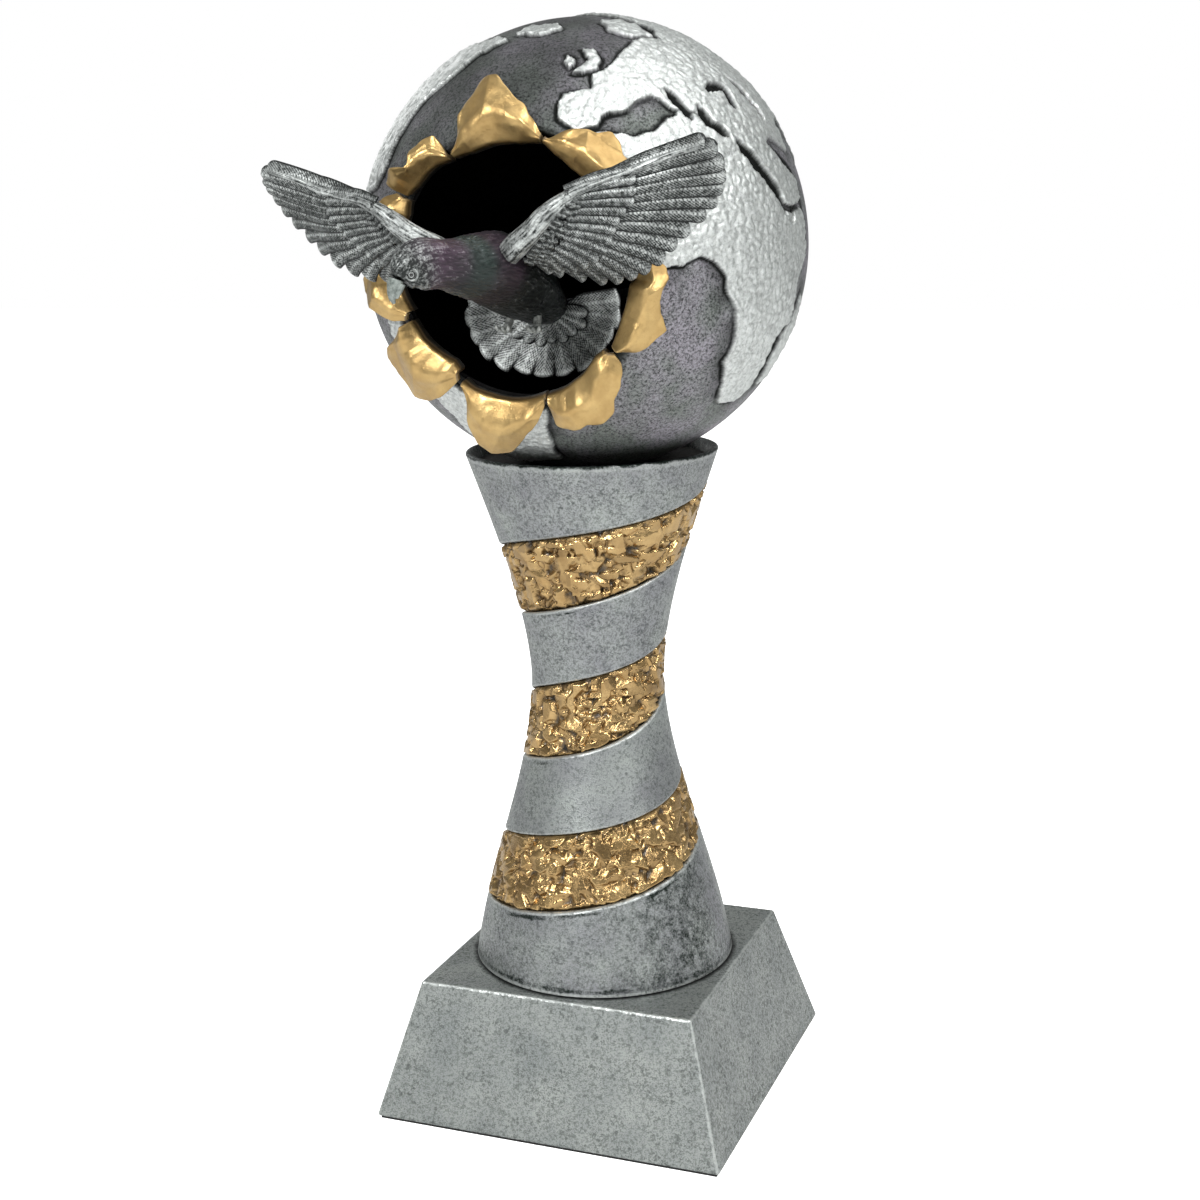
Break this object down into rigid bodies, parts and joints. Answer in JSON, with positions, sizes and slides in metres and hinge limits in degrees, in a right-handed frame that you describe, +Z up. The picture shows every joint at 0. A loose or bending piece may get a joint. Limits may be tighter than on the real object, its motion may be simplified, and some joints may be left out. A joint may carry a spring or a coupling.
{
  "type": "figure trophy",
  "caption": "Award figure of a dove that flies out of a torn globe, on a waisted column with a gold spiral band and a square tapered plinth",
  "frame": {"origin": "middle of the felt underside, where the trophy stands on its surface", "axes": "+Z up; the dove and the plinth's front face look along -Y; +X is to the right of a viewer who faces the trophy"},
  "size_m": [0.1214, 0.1575, 0.3025],
  "materials": {
    "felt": "black felt",
    "steel": "zinc-plated steel hardware, hidden inside",
    "plinth_silver": "antique silver paint on cast resin, finely speckled, brighter on the edges",
    "column_silver": "antique silver paint on cast resin, finely speckled",
    "nugget_gold": "glossy bronze-gold paint on a faceted nugget relief with dark crevices",
    "globe_ocean": "dark speckled antique silver paint on cast resin, with a dark wash along the coasts",
    "land_silver": "bright silver paint on a hammered relief with dark outlines",
    "petal_gold": "satin gold paint on a hammered relief",
    "dove_grey": "charcoal paint dry-brushed with silver, purple and green over the neck",
    "dove_beak": "grey paint on cast resin",
    "dove_eye": "dark glossy paint with a pale ring",
    "dove_foot": "light grey paint on cast resin"
  },
  "bodies": {
    "root": {"column_core": "nugget_gold", "dove_beak": "dove_beak", "dove_body": "dove_grey", "dove_eye_left": "dove_eye", "dove_eye_right": "dove_eye", "dove_foot_left": "dove_foot", "dove_foot_right": "dove_foot", "dove_tail_fan": "dove_grey", "dove_wing_left": "dove_grey", "dove_wing_right": "dove_grey", "dowel_socket": "steel", "felt_pad": "felt", "globe_shell": "globe_ocean", "land_africa": "land_silver", "land_arctic_islands": "land_silver", "land_australia": "land_silver", "land_borneo": "land_silver", "land_britain": "land_silver", "land_europe_asia": "land_silver", "land_greenland": "land_silver", "land_ireland": "land_silver", "land_japan": "land_silver", "land_madagascar": "land_silver", "land_new_guinea": "land_silver", "land_north_america": "land_silver", "land_south_america": "land_silver", "lower_nut": "steel", "lower_washer": "steel", "plinth": "plinth_silver", "spiral_sleeve": "column_silver", "support_dowel": "steel", "tie_rod": "steel", "torn_petal_1": "petal_gold", "torn_petal_10": "petal_gold", "torn_petal_2": "petal_gold", "torn_petal_3": "petal_gold", "torn_petal_4": "petal_gold", "torn_petal_5": "petal_gold", "torn_petal_6": "petal_gold", "torn_petal_7": "petal_gold", "torn_petal_8": "petal_gold", "torn_petal_9": "petal_gold", "upper_nut": "steel", "upper_washer": "steel"}
  },
  "joints": []
}
